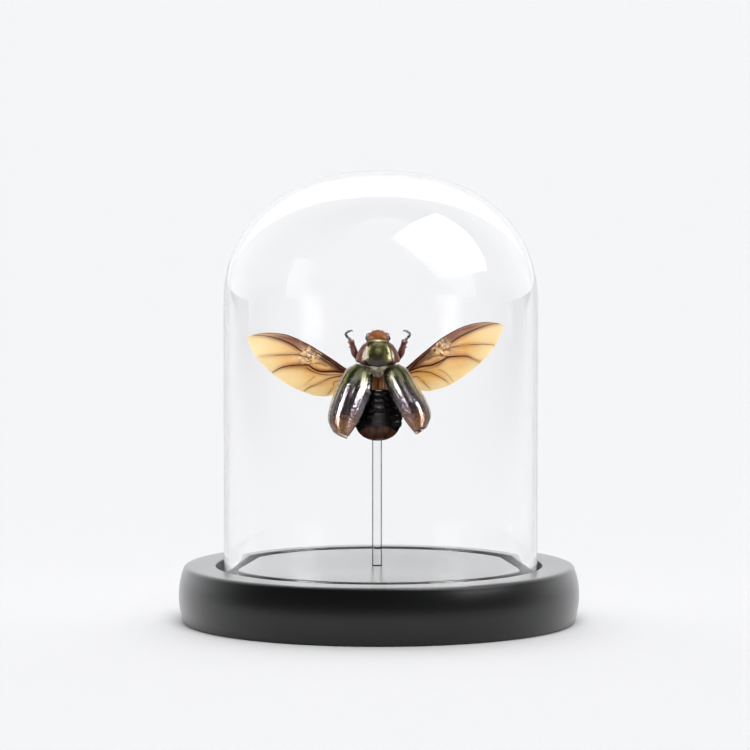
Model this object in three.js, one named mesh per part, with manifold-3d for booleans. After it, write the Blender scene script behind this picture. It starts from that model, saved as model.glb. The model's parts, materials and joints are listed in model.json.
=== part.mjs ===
// A mounted beetle under a glass dome: a turned wooden base with a ring groove, a glass
// cloche standing loose in the groove, and a clear rod that carries a beetle in flight.
// Millimetres, +Z up. The origin is the centre of the base's underside. The beetle shows
// its back to -Y with its head up, so its left side is on -X.

import * as THREE from "three";
import { mergeVertices } from "three/addons/utils/BufferGeometryUtils.js";
import Module from "manifold-3d";

const wasm = await Module();
wasm.setup();

// ---------------------------------------------------------------- driving dimensions

const GAP = 0.3; // left between pieces that are made apart and meet

const BASE = {
  radius: 60, // at the middle of the bulged side
  height: 17,
  bulge: 1.5, // how far the side swells between its two edges
  edge: 1.1, // rounding of the top and foot edges
  lip: 0.4, // rounding of the groove's two lips
  grooveOuter: 48.9,
  grooveInner: 41.9,
  grooveDepth: 4,
  holeRadius: 1.7,
  holeDepth: 7,
  sides: 44,
};

const DOME = {
  radius: 47,
  wall: 1.5,
  top: 135.4, // above the base's underside
  crown: 40.5, // height of the rounded part
  squareness: 2.2, // exponent of the crown's superellipse
  shift: 0.5, // it stands a little off centre in its groove
  sides: 44,
};

const ROD = { radius: 1.5, top: 56, shift: -0.6, sides: 16 };

// The beetle's own frame: x across, y deep, z above a level just over the base's top face.
const BEETLE = { shift: -0.35, lift: 0.6 };
const BODY = { thoraxDepth: -6.1, abdomenDepth: -5.9, pronotumDepth: -7.4, headDepth: -6.8 };
const ELYTRON = { thickness: 0.5, arch: 2.6, innerDepth: -10.8, outerDepth: -8.9, lift: 4.5 };
const WING = { thickness: 0.3, depth: -6.3, rise: 0.05, camber: 0.012, foldHeight: 60 };
const VEIN = { width: 0.55, height: 0.6, sides: 4 };

// ---------------------------------------------------------------- helpers

const xy = ([x, y]) => new THREE.Vector2(x, y);
const xyz = ([x, y, z]) => new THREE.Vector3(x, y, z);
const edgeCurve = (points) => new THREE.SplineCurve(points.map(xy));

// Joins a geometry's shared corners and turns its faces outwards.
function closed(geometry) {
  geometry.deleteAttribute("normal");
  geometry.deleteAttribute("uv");
  const merged = mergeVertices(geometry, 1e-4);
  const at = merged.attributes.position;
  const index = merged.index.array;
  const kept = [];
  let volume = 0;
  for (let i = 0; i < index.length; i += 3) {
    const [a, b, c] = [index[i], index[i + 1], index[i + 2]];
    if (a === b || b === c || c === a) continue;
    kept.push(a, b, c);
    const [p, q, r] = [a, b, c].map((k) => new THREE.Vector3().fromBufferAttribute(at, k));
    volume += p.dot(q.cross(r));
  }
  if (volume < 0) kept.reverse();
  merged.setIndex(kept);
  return merged;
}

// Moves every corner of a geometry by a function of its place.
function reshaped(geometry, place) {
  const at = geometry.attributes.position;
  for (let i = 0; i < at.count; i++) {
    const spot = place(new THREE.Vector3().fromBufferAttribute(at, i));
    at.setXYZ(i, spot.x, spot.y, spot.z);
  }
  return closed(geometry);
}

function manifoldOf(geometry) {
  const { position } = geometry.attributes;
  const vertProperties = new Float32Array(position.array);
  const triVerts = new Uint32Array(geometry.index.array);
  return new wasm.Manifold(new wasm.Mesh({ numProp: 3, vertProperties, triVerts }));
}

function geometryOf(manifold) {
  const mesh = manifold.getMesh();
  const geometry = new THREE.BufferGeometry();
  geometry.setAttribute("position", new THREE.BufferAttribute(mesh.vertProperties, 3));
  geometry.setIndex(new THREE.BufferAttribute(mesh.triVerts, 1));
  return geometry;
}

const fused = (geometries) => geometryOf(geometries.map(manifoldOf).reduce((a, b) => a.add(b)));

// A turned piece: its outline is given as radius and height, and spun about Z.
function turned(outline, sides) {
  return closed(new THREE.LatheGeometry(outline, sides).rotateX(Math.PI / 2));
}

// A body along Z from oval rings. Each ring has its height on the midline, half width,
// rise to the back (-Y), drop to the belly (+Y), and how far its sides sweep down.
function ovalBody(rings, depth, sides) {
  const last = rings.length - 1;
  const outline = rings.map((ring, i) => xy([i === 0 || i === last ? 0 : 1, i]));
  return reshaped(new THREE.LatheGeometry(outline, sides), (p) => {
    const [height, half, back, belly, sweep = 0] = rings[Math.round(p.y)];
    const y = depth + p.z * (p.z < 0 ? back : belly);
    return xyz([p.x * half, y, height - sweep * p.x ** 2]);
  });
}

// A bent plate between two edge curves, given in x and z.
function plate(edgeA, edgeB, along, across, thickness, depthAt) {
  const box = new THREE.BoxGeometry(1, 1, 1, along, across, 1);
  return reshaped(box, (p) => {
    const u = p.x + 0.5;
    const v = p.y + 0.5;
    const spot = edgeA.getPoint(u).lerp(edgeB.getPoint(u), v);
    return xyz([spot.x, depthAt(u, v, spot) + p.z * thickness, spot.y]);
  });
}

// A tapered limb segment, swollen a little before its middle.
function limb(from, to, startRadius, endRadius, sides = 6) {
  const along = to.clone().sub(from);
  const length = along.length();
  const outline = [
    [0, -startRadius * 0.5],
    [startRadius * 0.85, 0],
    [Math.max(startRadius, endRadius) * 1.08, length * 0.35],
    [endRadius, length],
    [0, length + endRadius * 0.5],
  ].map(xy);
  const turn = new THREE.Quaternion().setFromUnitVectors(xyz([0, 1, 0]), along.normalize());
  const segment = new THREE.LatheGeometry(outline, sides).applyQuaternion(turn);
  return closed(segment.translate(from.x, from.y, from.z));
}

// ---------------------------------------------------------------- base, dome and rod

function baseSolid() {
  const { radius, height, bulge, edge, lip, grooveOuter, grooveInner, grooveDepth } = BASE;
  const rim = radius - bulge;
  const floor = height - grooveDepth;
  const path = new THREE.Path();
  path.moveTo(0, 0);
  path.lineTo(rim - edge, 0);
  path.quadraticCurveTo(rim, 0, rim + bulge * 0.25, edge);
  path.quadraticCurveTo(radius + bulge * 0.75, height / 2, rim + bulge * 0.25, height - edge);
  path.quadraticCurveTo(rim, height, rim - edge, height);
  path.lineTo(grooveOuter + lip, height);
  path.quadraticCurveTo(grooveOuter, height, grooveOuter, height - lip);
  path.lineTo(grooveOuter, floor);
  path.lineTo(grooveInner, floor);
  path.lineTo(grooveInner, height - lip);
  path.quadraticCurveTo(grooveInner, height, grooveInner - lip, height);
  path.lineTo(0, height);
  const disc = turned(path.getPoints(3), BASE.sides);

  const { holeRadius, holeDepth } = BASE;
  const drill = new THREE.CylinderGeometry(holeRadius, holeRadius, holeDepth * 2, ROD.sides);
  drill.rotateX(Math.PI / 2).translate(ROD.shift, 0, height);
  return geometryOf(manifoldOf(disc).subtract(manifoldOf(closed(drill))));
}

// One wall of the dome from its crown to its straight side, as radius and height.
function crownPoints(radius, top, crown, steps) {
  const power = 2 / DOME.squareness;
  const points = [];
  for (let i = 0; i <= steps; i++) {
    const angle = (Math.PI / 2) * (1 - i / steps);
    const across = i === 0 ? 0 : Math.cos(angle) ** power;
    points.push(xy([radius * across, top - crown * (1 - Math.sin(angle) ** power)]));
  }
  return points;
}

function domeSolid() {
  const { radius, wall, top, crown } = DOME;
  const rimHeight = BASE.height - BASE.grooveDepth + 0.1;
  const outer = crownPoints(radius, top, crown, 8);
  const inner = crownPoints(radius - wall, top - wall, crown - wall, 8).reverse();
  const rim = [];
  for (let i = 0; i <= 3; i++) {
    const angle = (Math.PI * i) / 3;
    const across = radius - wall / 2 + (wall / 2) * Math.cos(angle);
    rim.push(xy([across, rimHeight + (wall / 2) * (1 - Math.sin(angle))]));
  }
  return turned([...outer, ...rim, ...inner], DOME.sides).translate(DOME.shift, 0, 0);
}

function rodSolid() {
  const foot = BASE.height - BASE.holeDepth + GAP;
  const length = BASE.height + ROD.top - foot;
  const rod = new THREE.CylinderGeometry(ROD.radius, ROD.radius, length, ROD.sides);
  return closed(rod.rotateX(Math.PI / 2).translate(ROD.shift, 0, foot + length / 2));
}

// ---------------------------------------------------------------- the beetle's body

function headSolid() {
  const capsule = ovalBody(
    [
      [68.05, 0, 0, 0],
      [68.25, 3.3, 2.0, 2.3, 1.0],
      [69.1, 3.0, 1.9, 2.1, 0.6],
      [69.8, 2.5, 1.5, 1.8, 0.5],
      [70.25, 1.9, 1.0, 1.3, 0.35],
      [70.45, 1.1, 0.5, 0.7, 0.1],
      [70.48, 0, 0, 0],
    ],
    BODY.headDepth,
    16,
  );
  const pieces = [capsule];
  for (const side of [-1, 1]) {
    const eye = new THREE.SphereGeometry(0.85, 7, 4);
    pieces.push(closed(eye.translate(side * 3.1, BODY.headDepth + 0.3, 67.95)));
    const bend = xyz([side * 3.3, -4.1, 69.0]);
    const tip = xyz([side * 3.0, -2.9, 67.2]);
    pieces.push(limb(xyz([side * 2.0, -6.0, 69.0]), bend, 0.3, 0.22, 4));
    pieces.push(limb(bend, tip, 0.3, 0.55, 4));
  }
  return fused(pieces);
}

function pronotumSolid() {
  const rings = [
    [67.5, 0, 0, 0],
    [67.85, 4.1, 2.4, 2.6, 1.5],
    [66.6, 4.9, 3.3, 3.2, 1.2],
    [64.8, 5.6, 4.1, 3.7, 0.5],
    [62.8, 6.2, 4.5, 3.9, -0.2],
    [61.1, 6.5, 4.4, 3.8, -0.6],
    [59.65, 6.45, 3.9, 3.4, -1.3],
    [59.85, 0, 0, 0],
  ];
  return ovalBody(rings, BODY.pronotumDepth, 20);
}

function scutellumSolid() {
  const shield = new THREE.Shape();
  shield.moveTo(-1.5, 58.3);
  shield.quadraticCurveTo(-1.4, 56.9, 0, 56.35);
  shield.quadraticCurveTo(1.4, 56.9, 1.5, 58.3);
  shield.quadraticCurveTo(0, 58.7, -1.5, 58.3);
  const slab = new THREE.ExtrudeGeometry(shield, {
    depth: 0.5,
    bevelThickness: 0.15,
    bevelSize: 0.15,
    bevelOffset: -0.15,
    bevelSegments: 1,
    curveSegments: 3,
  });
  return closed(slab.rotateX(Math.PI / 2).translate(0, -10.45, 0));
}

function thoraxSolid() {
  const rings = [
    [59.2, 0, 0, 0],
    [59.3, 5.5, 3.2, 3.5, -0.9],
    [58.0, 6.2, 3.7, 3.9, -0.4],
    [56.2, 6.5, 3.9, 4.2],
    [54.2, 6.5, 3.9, 4.2],
    [52.8, 6.3, 3.5, 4.1],
    [52.75, 0, 0, 0],
  ];
  return ovalBody(rings, BODY.thoraxDepth, 20);
}

// The abdomen's outline, as height, half width, rise and drop. Each segment ends in a lip
// that stands over the next one.
function abdomenSolid() {
  const lip = 0.96;
  const half = 0.15;
  const borders = [
    [50.2, 6.6, 3.2, 4.0],
    [48.0, 6.8, 3.3, 4.0],
    [46.0, 7.0, 3.3, 3.9],
    [43.7, 7.1, 3.2, 3.8],
    [41.6, 6.7, 3.0, 3.4],
  ];
  const rings = [
    [52.35, 0, 0, 0],
    [52.3, 6.2, 3.0, 3.9],
  ];
  for (const [height, ...size] of borders) {
    rings.push([height + half, ...size]);
    rings.push([height - half, ...size.map((value) => value * lip)]);
  }
  rings.push([39.9, 5.85, 2.6, 2.9]);
  rings.push([38.5, 4.3, 1.9, 2.0]);
  rings.push([37.6, 2.4, 1.0, 1.1]);
  rings.push([37.3, 0, 0, 0]);
  return ovalBody(rings, BODY.abdomenDepth, 18);
}

// ---------------------------------------------------------------- wing cases

// Edges from the shoulder to the tip, in x and z.
const ELYTRON_EDGES = {
  left: {
    inner: [[-2.1, 59.2], [-1.85, 56.2], [-2.35, 52.4], [-4.4, 47.4], [-6.9, 42.6], [-9.3, 39.2]],
    outer: [[-6.1, 60.3], [-9.2, 58.4], [-11.8, 53.8], [-13.7, 48.5], [-14.3, 44.3], [-12.9, 41.0]],
  },
  right: {
    inner: [[2.1, 59.3], [1.95, 56.4], [3.5, 52.2], [5.6, 48.2], [8.1, 44.0], [11.3, 40.1]],
    outer: [[6.1, 60.6], [8.8, 58.9], [12.0, 53.8], [14.6, 49.6], [15.8, 45.6], [14.6, 42.2]],
  },
};

function elytronSolid(edges) {
  const { thickness, arch, innerDepth, outerDepth, lift } = ELYTRON;
  const depthAt = (u, v) => {
    const hinge = THREE.MathUtils.lerp(innerDepth, outerDepth, v) - lift * u;
    const swell = Math.sin(Math.PI * (0.16 + 0.76 * u));
    return hinge - arch * swell * Math.sin(Math.PI * v) ** 0.8;
  };
  return plate(edgeCurve(edges.inner), edgeCurve(edges.outer), 14, 7, thickness, depthAt);
}

// ---------------------------------------------------------------- flying wings

// Edges from the root to the tip and the main veins, in x and z.
const WING_LINES = {
  left: {
    leading: [
      [-6.9, 57.6], [-9.7, 59.1], [-15.9, 63.3], [-20.8, 66.3], [-26.3, 68.7], [-32, 69.6],
      [-36.3, 69.2], [-38.4, 68.4],
    ],
    trailing: [
      [-6.9, 54.2], [-13.4, 50.9], [-18, 50.6], [-22.1, 51.9], [-26.5, 54], [-32, 58.1],
      [-36.4, 62.9], [-38.7, 67.4],
    ],
    veins: [
      [[-7.8, 58.1], [-15.8, 62.8], [-20.8, 65.6], [-24, 67]],
      [[-22.3, 64.4], [-26.3, 66.2], [-30.6, 68], [-35, 68.8]],
      [[-21.5, 62.2], [-26.3, 62.9], [-31.5, 63], [-35.3, 62.7]],
      [[-7.8, 57.6], [-14.9, 58], [-20.7, 59.5], [-25.4, 59.9], [-31.2, 57.8]],
      [[-7.8, 57], [-13.8, 56.4], [-17, 54.8], [-21.7, 52.3]],
    ],
  },
  right: {
    leading: [
      [6.9, 57.8], [9.2, 59.8], [15.1, 64.7], [20.8, 69], [26.1, 71.6], [31.6, 72.7],
      [35.4, 72.5], [37.2, 71.7],
    ],
    trailing: [
      [6.9, 54.2], [13.4, 52.2], [17.4, 52.6], [21.7, 54.2], [26.3, 57.2], [31, 61.2],
      [34.6, 65.6], [37, 70.6],
    ],
    veins: [
      [[7.8, 58.7], [15.2, 64.2], [20, 67.8], [24, 70.2]],
      [[22.2, 67.4], [27.6, 70.2], [31.8, 71.7], [35.2, 72.1]],
      [[20.3, 64.5], [27.6, 66.1], [31.8, 66.2], [34.2, 65.9]],
      [[7.8, 58.3], [14, 59.4], [20.3, 62.2], [26.6, 62.5], [30.6, 60.9]],
      [[7.8, 57.6], [13.6, 58], [18.5, 56.2], [21.3, 54.8]],
    ],
  },
};

const wingDepth = (x, z) =>
  WING.depth - WING.rise * (Math.abs(x) - 7) + WING.camber * (z - WING.foldHeight) ** 2;

// A vein is a slim diamond rib that runs along the membrane and stands out on both faces.
function veinSolid(points) {
  const route = new THREE.CatmullRomCurve3(points.map(([x, z]) => xyz([x, wingDepth(x, z), z])));
  const section = new THREE.Shape([
    xy([VEIN.width / 2, 0]),
    xy([0, VEIN.height / 2]),
    xy([-VEIN.width / 2, 0]),
    xy([0, -VEIN.height / 2]),
  ]);
  return closed(new THREE.ExtrudeGeometry(section, { steps: 4, extrudePath: route }));
}

function hindwingSolid(lines) {
  const depthAt = (u, v, spot) => wingDepth(spot.x, spot.y);
  const leading = edgeCurve(lines.leading);
  const trailing = edgeCurve(lines.trailing);
  const membrane = plate(leading, trailing, 12, 3, WING.thickness, depthAt);
  return fused([membrane, ...lines.veins.map(veinSolid)]);
}

// ---------------------------------------------------------------- legs

// Joints from the hip to the foot, for the beetle's right side, and the radius at each.
const LEGS = {
  foreleg: {
    joints: [
      [2.2, -2.1, 62.4], [6.3, -3.4, 61.3], [8.0, -5.6, 67.2], [9.3, -6.1, 68.5],
      [9.5, -6.3, 69.4], [8.5, -6.4, 70.0],
    ],
    radii: [1.0, 0.6, 0.85, 0.35, 0.3, 0.15],
    teeth: [[8.9, -5.2, 65.9], [8.6, -4.9, 64.5]],
  },
  midleg: {
    joints: [
      [3.0, -1.0, 57.6], [8.8, -0.6, 57.4], [8.9, 0.2, 50.6], [8.0, 0.8, 47.2], [7.4, 1.3, 44.6],
    ],
    radii: [1.1, 0.7, 0.65, 0.3, 0.2],
    teeth: [[9.8, 0.6, 53.6]],
  },
  hindleg: {
    joints: [
      [2.9, -0.6, 53.8], [6.9, 0.2, 49.4], [6.0, 1.2, 42.6], [4.9, 1.8, 40.6], [3.6, 2.2, 39.4],
    ],
    radii: [1.2, 0.8, 0.75, 0.3, 0.2],
    teeth: [[7.3, 1.2, 45.6]],
  },
};

function legSolid({ joints, radii, teeth }, side) {
  const spots = joints.map(([x, y, z]) => xyz([x * side, y, z]));
  const segments = spots.slice(1).map((spot, i) => limb(spots[i], spot, radii[i], radii[i + 1]));
  const shin = (height) => {
    const share = (height - spots[1].z) / (spots[2].z - spots[1].z);
    return spots[1].clone().lerp(spots[2], share);
  };
  for (const [x, y, z] of teeth) {
    segments.push(limb(shin(z - 0.5), xyz([x * side, y, z]), 0.45, 0.12, 4));
  }
  return fused(segments);
}

// ---------------------------------------------------------------- materials

const finish = (color, roughness, metalness = 0) =>
  new THREE.MeshStandardMaterial({ color, roughness, metalness });

const MATERIALS = {
  blackPaint: finish(0x1d1c1c, 0.35),
  glass: finish(0xeef3f4, 0.02),
  clearRod: finish(0xe4e9ea, 0.05),
  headShell: finish(0x9a5a30, 0.3),
  greenShell: finish(0x4c5428, 0.25, 0.5),
  caseShell: finish(0x54502e, 0.25, 0.5),
  brownShell: finish(0x8a4c18, 0.35),
  darkShell: finish(0x17110d, 0.25),
  wingMembrane: finish(0xd9a861, 0.4),
  legShell: finish(0x56281c, 0.35),
};

// ---------------------------------------------------------------- assembly

function piece(name, geometry, material) {
  const mesh = new THREE.Mesh(geometry, material);
  mesh.name = name;
  return mesh;
}

const beetle = new THREE.Group();
beetle.position.set(BEETLE.shift, 0, BASE.height + BEETLE.lift);
beetle.add(piece("head", headSolid(), MATERIALS.headShell));
beetle.add(piece("pronotum", pronotumSolid(), MATERIALS.greenShell));
beetle.add(piece("scutellum", scutellumSolid(), MATERIALS.greenShell));
beetle.add(piece("thorax", thoraxSolid(), MATERIALS.brownShell));
beetle.add(piece("abdomen", abdomenSolid(), MATERIALS.darkShell));
for (const [name, side] of [["left", -1], ["right", 1]]) {
  beetle.add(piece(`elytron_${name}`, elytronSolid(ELYTRON_EDGES[name]), MATERIALS.caseShell));
  beetle.add(piece(`hindwing_${name}`, hindwingSolid(WING_LINES[name]), MATERIALS.wingMembrane));
  for (const [leg, shape] of Object.entries(LEGS)) {
    beetle.add(piece(`${leg}_${name}`, legSolid(shape, side), MATERIALS.legShell));
  }
}

const mountedBeetle = new THREE.Group();
mountedBeetle.add(piece("base", baseSolid(), MATERIALS.blackPaint));
mountedBeetle.add(piece("glass_dome", domeSolid(), MATERIALS.glass));
mountedBeetle.add(piece("support_rod", rodSolid(), MATERIALS.clearRod));
mountedBeetle.add(beetle);

export default mountedBeetle;
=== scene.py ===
# %% [markdown]
# # A mounted beetle under a glass dome
# The object is a small display piece: a turned wooden base painted black, a blown glass
# dome that stands in a groove of the base, and a clear rod that holds a beetle as if it flew.
# The frame holds every piece at its real size. This script makes the fine surfaces on it.

# %% Load the frame
import json
import math

import bpy
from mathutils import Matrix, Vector, kdtree, noise

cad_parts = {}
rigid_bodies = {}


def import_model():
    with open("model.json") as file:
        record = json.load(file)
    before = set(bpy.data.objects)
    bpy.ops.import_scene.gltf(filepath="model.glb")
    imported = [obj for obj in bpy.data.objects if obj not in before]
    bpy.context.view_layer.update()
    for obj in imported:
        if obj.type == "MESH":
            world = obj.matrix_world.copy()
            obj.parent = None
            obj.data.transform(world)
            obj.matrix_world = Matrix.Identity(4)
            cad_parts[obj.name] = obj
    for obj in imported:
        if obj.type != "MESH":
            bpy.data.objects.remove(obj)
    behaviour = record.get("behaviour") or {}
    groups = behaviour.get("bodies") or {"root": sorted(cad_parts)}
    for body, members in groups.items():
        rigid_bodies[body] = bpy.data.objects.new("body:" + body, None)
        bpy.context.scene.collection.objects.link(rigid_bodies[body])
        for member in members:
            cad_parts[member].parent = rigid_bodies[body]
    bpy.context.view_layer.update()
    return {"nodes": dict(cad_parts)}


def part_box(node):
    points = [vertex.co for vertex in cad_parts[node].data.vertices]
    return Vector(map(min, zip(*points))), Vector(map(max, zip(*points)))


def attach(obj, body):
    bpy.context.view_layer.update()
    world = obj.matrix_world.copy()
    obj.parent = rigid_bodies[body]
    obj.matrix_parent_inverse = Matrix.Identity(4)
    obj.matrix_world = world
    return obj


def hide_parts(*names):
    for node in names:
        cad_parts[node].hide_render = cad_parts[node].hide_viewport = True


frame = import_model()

print("the frame's pieces:", ", ".join(sorted(frame["nodes"])))

# %% [markdown]
# ## Where things are
# Lengths are easier to think about in millimetres, so one name turns them into metres.
# The beetle has its own upright level: x is across it, y is its depth with its back on -y,
# and z counts from just above the base. Both come from boxes of the frame.

# %% Lengths and places
MM = 0.001
BASE_LOW, BASE_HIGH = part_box("base")
BASE_RADIUS = BASE_HIGH[0]
BASE_TOP = BASE_HIGH[2]
DOME_LOW, DOME_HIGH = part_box("glass_dome")
ROD_LOW, ROD_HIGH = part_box("support_rod")
ABDOMEN_LOW, ABDOMEN_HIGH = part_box("abdomen")
ABDOMEN_TIP = 37.3  # the abdomen's lowest point on the beetle's own level
MIDLINE = (ABDOMEN_LOW[0] + ABDOMEN_HIGH[0]) / 2
LEVEL = ABDOMEN_LOW[2] - ABDOMEN_TIP * MM


def at(x, y, z):
    """A point in the beetle's millimetres, as a place in the scene."""
    return Vector((MIDLINE + x * MM, y * MM, LEVEL + z * MM))


print(f"base {BASE_RADIUS / MM:.1f} mm in radius, beetle's midline at {MIDLINE / MM:.2f} mm")

# %% [markdown]
# ## Helpers for shapes
# Two small curves do most of the work. `between` runs a smooth line through rows of numbers,
# and `ease` rises softly from 0 to 1. Every piece starts from a Blender primitive or from a
# line that is extruded point by point, so that its mesh is clean from the start.

# %% Curves through numbers


def between(rows, t):
    """The rows' values at t, from 0 at the first row to 1 at the last, on a smooth curve."""
    last = len(rows) - 1
    place = min(max(t, 0.0), 1.0) * last
    i = min(int(place), last - 1)
    f = place - i
    four = (rows[min(max(k, 0), last)] for k in (i - 1, i, i + 1, i + 2))
    return [
        q + f * (r - p) / 2 + f**2 * (2 * p - 5 * q + 4 * r - s) / 2 + f**3 * (3 * (q - r) + s - p) / 2
        for p, q, r, s in zip(*four)
    ]


def ease(value, low, high):
    """0 below low and 1 above high, with a soft rise between them."""
    t = min(max((value - low) / (high - low), 0.0), 1.0)
    return t * t * (3 - 2 * t)


def hump(value, middle, width):
    """1 at the middle, falling to nothing at about twice the width from it."""
    return math.exp(-(((value - middle) / width) ** 2))


# %% Starting, shaping and finishing a mesh


def clear_selection():
    if bpy.context.object and bpy.context.object.mode != "OBJECT":
        bpy.ops.object.mode_set(mode="OBJECT")
    bpy.ops.object.select_all(action="DESELECT")


def start(add, **how):
    """Adds a primitive with nothing else selected, and hands it back."""
    clear_selection()
    add(**how)
    return bpy.context.object


def shape(ob, place):
    """Moves every corner of ob by a function of where it is."""
    for corner in ob.data.vertices:
        corner.co = place(corner.co.copy())
    ob.data.update()
    return ob


def modify(ob, kind, **settings):
    """Adds a modifier and applies it."""
    clear_selection()
    bpy.context.view_layer.objects.active = ob
    ob.select_set(True)
    modifier = ob.modifiers.new(kind.title(), kind)
    for name, value in settings.items():
        setattr(modifier, name, value)
    bpy.ops.object.modifier_apply(modifier=modifier.name)
    return ob


def outward(ob, merge=1e-7):
    """Merges doubled corners and turns the faces outwards."""
    clear_selection()
    bpy.context.view_layer.objects.active = ob
    ob.select_set(True)
    bpy.ops.object.mode_set(mode="EDIT")
    bpy.ops.mesh.select_all(action="SELECT")
    bpy.ops.mesh.remove_doubles(threshold=merge)
    bpy.ops.mesh.normals_make_consistent(inside=False)
    bpy.ops.object.mode_set(mode="OBJECT")
    return ob


def finished(ob, name, material, *nodes, slot=None, angle=40):
    """Names a piece, gives it its finish, and sets it on the frame in place of its nodes."""
    clear_selection()
    bpy.context.view_layer.objects.active = ob
    ob.select_set(True)
    bpy.ops.object.transform_apply(location=True, rotation=True, scale=True)
    bpy.ops.object.shade_smooth_by_angle(angle=math.radians(angle))
    ob.name = ob.data.name = name
    ob.data.materials.clear()
    ob.data.materials.append(material)
    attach(ob, "root")
    if nodes:
        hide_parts(*nodes)
    print(f"{name}: {len(ob.data.polygons)} faces")
    return ob


# %% A turned or blown shape: an outline extruded point by point, then spun


def turned(outline, steps):
    """Spins an outline of (radius, height) points, in metres, about the Z axis."""
    ob = start(bpy.ops.mesh.primitive_plane_add, size=MM)
    bpy.ops.object.mode_set(mode="EDIT")
    bpy.ops.mesh.select_all(action="SELECT")
    bpy.ops.mesh.merge(type="CENTER")
    bpy.ops.transform.translate(value=(outline[0][0], 0, outline[0][1]))
    for (r0, z0), (r1, z1) in zip(outline, outline[1:]):
        bpy.ops.mesh.extrude_region_move(TRANSFORM_OT_translate={"value": (r1 - r0, 0, z1 - z0)})
    bpy.ops.mesh.select_all(action="SELECT")
    bpy.ops.mesh.spin(steps=steps, angle=math.tau, center=(0, 0, 0), axis=(0, 0, 1))
    bpy.ops.object.mode_set(mode="OBJECT")
    return outward(ob)


def rounded(corner_in, corner, corner_out, steps):
    """Points of a soft corner that leaves and meets its two straight sides smoothly."""
    points = []
    for k in range(steps + 1):
        f = k / steps
        one, two, three = (1 - f) ** 2, 2 * f * (1 - f), f**2
        points.append([one * a + two * b + three * c for a, b, c in zip(corner_in, corner, corner_out)])
    return points


# %% An oval body along Z: a sphere whose rings follow a table


def keep_places(ob, us, vs):
    """Stores each corner's own u and v, for the masks that colour the piece."""
    for name, values in (("u", us), ("v", vs)):
        kept = ob.data.attributes.new(name, "FLOAT", "POINT")
        kept.data.foreach_set("value", values)
    return ob


def oval_body(rows, depth, segments=96, rings=72, relief=None):
    """Rows give height, half width, rise to the back, drop to the belly and side sweep.

    Each corner keeps u, from 0 at the first row to 1 at the last, and v, from -1 at the left
    edge to 1 at the right. relief(u, v, front) lifts the surface by that many millimetres,
    where front is 1 on the midline of the back and -1 on that of the belly.
    """
    ob = start(bpy.ops.mesh.primitive_uv_sphere_add, segments=segments, ring_count=rings, radius=1)
    us, vs = [], []

    def place(corner):
        ring = math.hypot(corner.x, corner.y)
        t = math.acos(min(max(corner.z, -1), 1)) / math.pi
        height, half, back, belly, sweep = between(rows, t)
        x, y = (corner.x / ring, corner.y / ring) if ring > 1e-6 else (0, 0)
        us.append(t)
        vs.append(x)
        lift = relief(t, x, -y) if relief and ring > 1e-6 else 0
        flat = depth + y * ((back if y < 0 else belly) + lift)
        return at(x * (max(half, 0) + lift), flat, height - sweep * x * x)

    return keep_places(shape(ob, place), us, vs)


# %% A bent sheet between two edges, for wings and wing cases


def sheet(inner, outer, along, across, depth_at):
    """A grid whose u runs from root to tip and v from the inner to the outer edge."""
    ob = start(bpy.ops.mesh.primitive_grid_add, x_subdivisions=along, y_subdivisions=across, size=1)
    us, vs = [], []

    def place(corner):
        u, v = corner.x + 0.5, corner.y + 0.5
        us.append(u)
        vs.append(v)
        a, b = between(inner, u), between(outer, u)
        x, z = (p + (q - p) * v for p, q in zip(a, b))
        return at(x, depth_at(u, v, x, z), z)

    return keep_places(shape(ob, place), us, vs)


# %% Slim tubes along smooth routes, for veins, limbs and claws


def tubes(routes, sides=3, fine=6):
    """Each route is a list of (x, y, z, radius) in the beetle's millimetres."""
    curve = bpy.data.curves.new("tubes", "CURVE")
    curve.dimensions = "3D"
    curve.bevel_depth = MM
    curve.bevel_resolution = sides
    curve.use_fill_caps = True
    for route in routes:
        steps = (len(route) - 1) * fine
        line = curve.splines.new("POLY")
        line.points.add(steps)
        for k, point in enumerate(line.points):
            x, y, z, radius = between(route, k / steps)
            point.co = (*at(x, y, z), 1)
            point.radius = max(radius, 0.01)
    ob = bpy.data.objects.new("tubes", curve)
    bpy.context.collection.objects.link(ob)
    clear_selection()
    bpy.context.view_layer.objects.active = ob
    ob.select_set(True)
    bpy.ops.object.convert(target="MESH")
    return outward(bpy.context.object)


# %% [markdown]
# ## Helpers for finishes
# Colours are written as the hex values that a painter would pick, and turned to linear light
# once. One function adds a node, sets its options and links or fills its inputs.

# %% Colours and nodes


def colour(hex_value):
    """An sRGB hex colour as linear light."""
    parts = [int(hex_value[i : i + 2], 16) / 255 for i in (1, 3, 5)]
    return [c / 12.92 if c <= 0.04045 else ((c + 0.055) / 1.055) ** 2.4 for c in parts] + [1.0]


def add(tree, kind, inputs=None, **options):
    """Adds a node. inputs maps a socket's name or number to a value or to another socket."""
    made = tree.nodes.new("ShaderNode" + kind)
    for name, value in options.items():
        setattr(made, name, value)
    for name, value in (inputs or {}).items():
        if isinstance(value, bpy.types.NodeSocket):
            tree.links.new(value, made.inputs[name])
        else:
            made.inputs[name].default_value = value
    return made


MIX_FACTOR, MIX_A, MIX_B, MIX_COLOUR = 0, 6, 7, 2  # socket numbers of a colour Mix node


def new_material(name):
    """An empty material and its node tree."""
    print("finish:", name)
    material = bpy.data.materials.new(name)
    material.use_nodes = True
    material.node_tree.nodes.clear()
    return material, material.node_tree


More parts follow.
